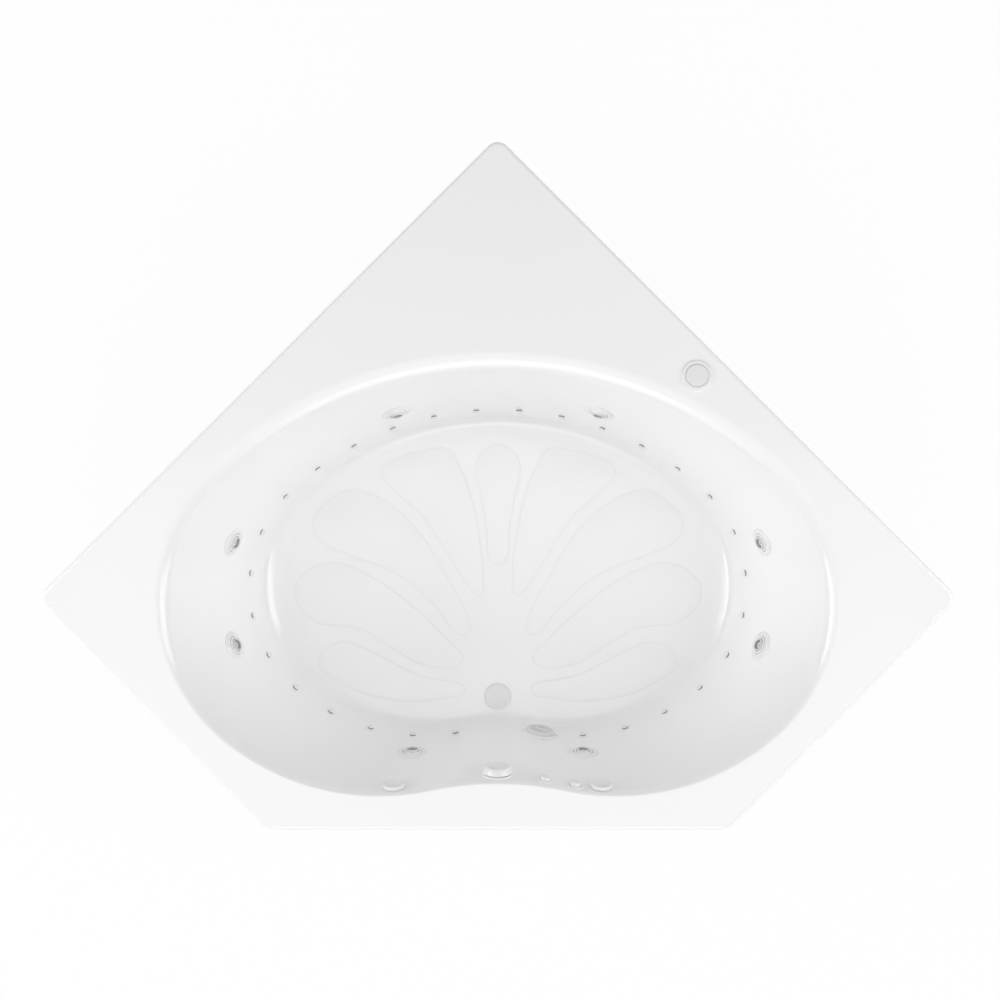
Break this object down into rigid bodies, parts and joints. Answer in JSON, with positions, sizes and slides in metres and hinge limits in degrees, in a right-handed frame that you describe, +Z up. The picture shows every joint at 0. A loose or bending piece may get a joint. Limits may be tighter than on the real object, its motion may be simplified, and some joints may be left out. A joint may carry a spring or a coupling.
{
  "type": "jetted corner bathtub",
  "caption": "White corner bathtub with a kidney-shaped well, water jets, air injectors, pump, blower and waste on a steel frame.",
  "frame": {"origin": "on the floor, under the middle of the tub's box", "axes": "+Z up, +Y towards the wall corner, +X to the right seen from the front"},
  "size_m": [2.1286, 1.6032, 0.59],
  "materials": {
    "acrylic": "gloss",
    "trim": "gloss",
    "nozzle": "gloss",
    "pvc": "satin",
    "abs_black": "satin",
    "rubber": "matte",
    "steel": "galvanised",
    "screw": "polished",
    "plywood": "raw",
    "motor": "satin",
    "housing": "satin"
  },
  "bodies": {
    "tub": {"air_channel": "pvc", "air_control_bodies": "trim", "air_injectors": "trim", "air_line": "pvc", "blower_feed": "pvc", "blower_housing": "housing", "button_bezels": "trim", "control_box": "housing", "discharge_pipe": "pvc", "drain_body": "pvc", "drain_cable": "abs_black", "drain_flange": "trim", "equipment_shelves": "plywood", "floor_board": "plywood", "foot_nuts": "steel", "frame_posts": "steel", "frame_rails": "steel", "gaskets": "rubber", "jet_bodies": "pvc", "jet_flanges": "trim", "leveling_feet": "steel", "locknuts": "pvc", "overflow_elbow": "pvc", "overflow_flange": "trim", "overflow_pipe": "pvc", "pump_motor": "motor", "pump_volute": "housing", "suction_body": "trim", "suction_cover": "trim", "suction_pipe": "pvc", "suction_screw": "screw", "tailpiece": "pvc", "tub_shell": "acrylic", "waste_tee": "pvc", "water_manifold": "pvc"},
    "drain_plug": {"drain_plug": "trim"},
    "overflow_knob": {"overflow_knob": "trim"},
    "air_control_knob_left": {"air_control_knob_left": "trim"},
    "air_control_knob_right": {"air_control_knob_right": "trim"},
    "pump_button": {"pump_button": "trim"},
    "blower_button": {"blower_button": "trim"},
    "deck_button": {"deck_button": "trim"},
    "pump_impeller": {"pump_impeller": "abs_black"},
    "blower_fan": {"blower_fan": "abs_black"},
    "jet_ring_1": {"jet_ring_1": "trim"},
    "jet_nozzle_1": {"jet_nozzle_1": "nozzle"},
    "jet_ring_2": {"jet_ring_2": "trim"},
    "jet_nozzle_2": {"jet_nozzle_2": "nozzle"},
    "jet_ring_3": {"jet_ring_3": "trim"},
    "jet_nozzle_3": {"jet_nozzle_3": "nozzle"},
    "jet_ring_4": {"jet_ring_4": "trim"},
    "jet_nozzle_4": {"jet_nozzle_4": "nozzle"},
    "jet_ring_5": {"jet_ring_5": "trim"},
    "jet_nozzle_5": {"jet_nozzle_5": "nozzle"},
    "jet_ring_6": {"jet_ring_6": "trim"},
    "jet_nozzle_6": {"jet_nozzle_6": "nozzle"},
    "jet_ring_7": {"jet_ring_7": "trim"},
    "jet_nozzle_7": {"jet_nozzle_7": "nozzle"},
    "jet_ring_8": {"jet_ring_8": "trim"},
    "jet_nozzle_8": {"jet_nozzle_8": "nozzle"}
  },
  "joints": [
    {"name": "jet_1_flow", "type": "hinge", "parent": "tub", "child": "jet_ring_1", "pos_m": [0.25495, 0.18701, 0.326], "axis": [-0.2957, -0.9327, 0.2064], "range_deg": [0, 90]},
    {"name": "jet_1_aim", "type": "hinge", "parent": "jet_ring_1", "child": "jet_nozzle_1", "pos_m": [0.25406, 0.18421, 0.32662], "axis": [0.9533, -0.3022, 0], "range_deg": [-12, 12]},
    {"name": "jet_2_flow", "type": "hinge", "parent": "tub", "child": "jet_ring_2", "pos_m": [0.66444, -0.13846, 0.326], "axis": [-0.8945, -0.3246, 0.3074], "range_deg": [0, 90]},
    {"name": "jet_2_aim", "type": "hinge", "parent": "jet_ring_2", "child": "jet_nozzle_2", "pos_m": [0.66176, -0.13944, 0.32692], "axis": [0.3411, -0.94, 0], "range_deg": [-12, 12]},
    {"name": "jet_3_flow", "type": "hinge", "parent": "tub", "child": "jet_ring_3", "pos_m": [0.66114, -0.39871, 0.326], "axis": [-0.8791, 0.3445, 0.3294], "range_deg": [0, 90]},
    {"name": "jet_3_aim", "type": "hinge", "parent": "jet_ring_3", "child": "jet_nozzle_3", "pos_m": [0.6585, -0.39767, 0.32699], "axis": [-0.3649, -0.9311, 0], "range_deg": [-12, 12]},
    {"name": "jet_4_flow", "type": "hinge", "parent": "tub", "child": "jet_ring_4", "pos_m": [0.2144, -0.66803, 0.326], "axis": [0.0076, 0.9821, 0.1885], "range_deg": [0, 90]},
    {"name": "jet_4_aim", "type": "hinge", "parent": "jet_ring_4", "child": "jet_nozzle_4", "pos_m": [0.21442, -0.66508, 0.32656], "axis": [-1, 0.0077, 0], "range_deg": [-12, 12]},
    {"name": "jet_5_flow", "type": "hinge", "parent": "tub", "child": "jet_ring_5", "pos_m": [-0.25495, 0.18701, 0.326], "axis": [0.2957, -0.9327, 0.2064], "range_deg": [0, 90]},
    {"name": "jet_5_aim", "type": "hinge", "parent": "jet_ring_5", "child": "jet_nozzle_5", "pos_m": [-0.25406, 0.18421, 0.32662], "axis": [0.9533, 0.3022, 0], "range_deg": [-12, 12]},
    {"name": "jet_6_flow", "type": "hinge", "parent": "tub", "child": "jet_ring_6", "pos_m": [-0.66444, -0.13846, 0.326], "axis": [0.8945, -0.3246, 0.3074], "range_deg": [0, 90]},
    {"name": "jet_6_aim", "type": "hinge", "parent": "jet_ring_6", "child": "jet_nozzle_6", "pos_m": [-0.66176, -0.13944, 0.32692], "axis": [0.3411, 0.94, 0], "range_deg": [-12, 12]},
    {"name": "jet_7_flow", "type": "hinge", "parent": "tub", "child": "jet_ring_7", "pos_m": [-0.66114, -0.39871, 0.326], "axis": [0.8791, 0.3445, 0.3294], "range_deg": [0, 90]},
    {"name": "jet_7_aim", "type": "hinge", "parent": "jet_ring_7", "child": "jet_nozzle_7", "pos_m": [-0.6585, -0.39767, 0.32699], "axis": [-0.3649, 0.9311, 0], "range_deg": [-12, 12]},
    {"name": "jet_8_flow", "type": "hinge", "parent": "tub", "child": "jet_ring_8", "pos_m": [-0.2144, -0.66803, 0.326], "axis": [-0.0076, 0.9821, 0.1885], "range_deg": [0, 90]},
    {"name": "jet_8_aim", "type": "hinge", "parent": "jet_ring_8", "child": "jet_nozzle_8", "pos_m": [-0.21442, -0.66508, 0.32656], "axis": [-1, -0.0077, 0], "range_deg": [-12, 12]},
    {"name": "overflow_knob_turn", "type": "hinge", "parent": "tub", "child": "overflow_knob", "pos_m": [0, -0.68049, 0.534], "axis": [0, 0.9858, 0.1678], "range_deg": [0, 90]},
    {"name": "drain_plug_lift", "type": "slide", "parent": "tub", "child": "drain_plug", "axis": [0, 0, 1], "range_m": [0, 0.01]},
    {"name": "air_control_left_turn", "type": "hinge", "parent": "tub", "child": "air_control_knob_left", "pos_m": [-0.24405, -0.70959, 0.543], "axis": [-0.0408, 0.9826, 0.1812], "range_deg": [0, 180]},
    {"name": "air_control_right_turn", "type": "hinge", "parent": "tub", "child": "air_control_knob_right", "pos_m": [0.24405, -0.70959, 0.543], "axis": [0.0408, 0.9826, 0.1812], "range_deg": [0, 180]},
    {"name": "pump_button_press", "type": "slide", "parent": "tub", "child": "pump_button", "axis": [-0.1485, -0.9766, -0.1553], "range_m": [0, 0.004], "stiffness_N_per_m": 400, "springref_m": -0.002},
    {"name": "blower_button_press", "type": "slide", "parent": "tub", "child": "blower_button", "axis": [-0.1567, -0.9754, -0.1552], "range_m": [0, 0.004], "stiffness_N_per_m": 400, "springref_m": -0.002},
    {"name": "deck_button_press", "type": "slide", "parent": "tub", "child": "deck_button", "axis": [0, 0, -1], "range_m": [0, 0.004], "stiffness_N_per_m": 400, "springref_m": -0.002},
    {"name": "pump_shaft_spin", "type": "hinge", "parent": "tub", "child": "pump_impeller", "pos_m": [0.82563, -0.32978, 0.192], "axis": [0, 1, 0], "continuous": true},
    {"name": "blower_shaft_spin", "type": "hinge", "parent": "tub", "child": "blower_fan", "pos_m": [-0.82563, -0.26278, 0.102], "axis": [0, 0, 1], "continuous": true}
  ],
  "couplings": [
    {"joint": "drain_plug_lift", "follows": "overflow_knob_turn", "m_per_rad": 0.006366}
  ]
}
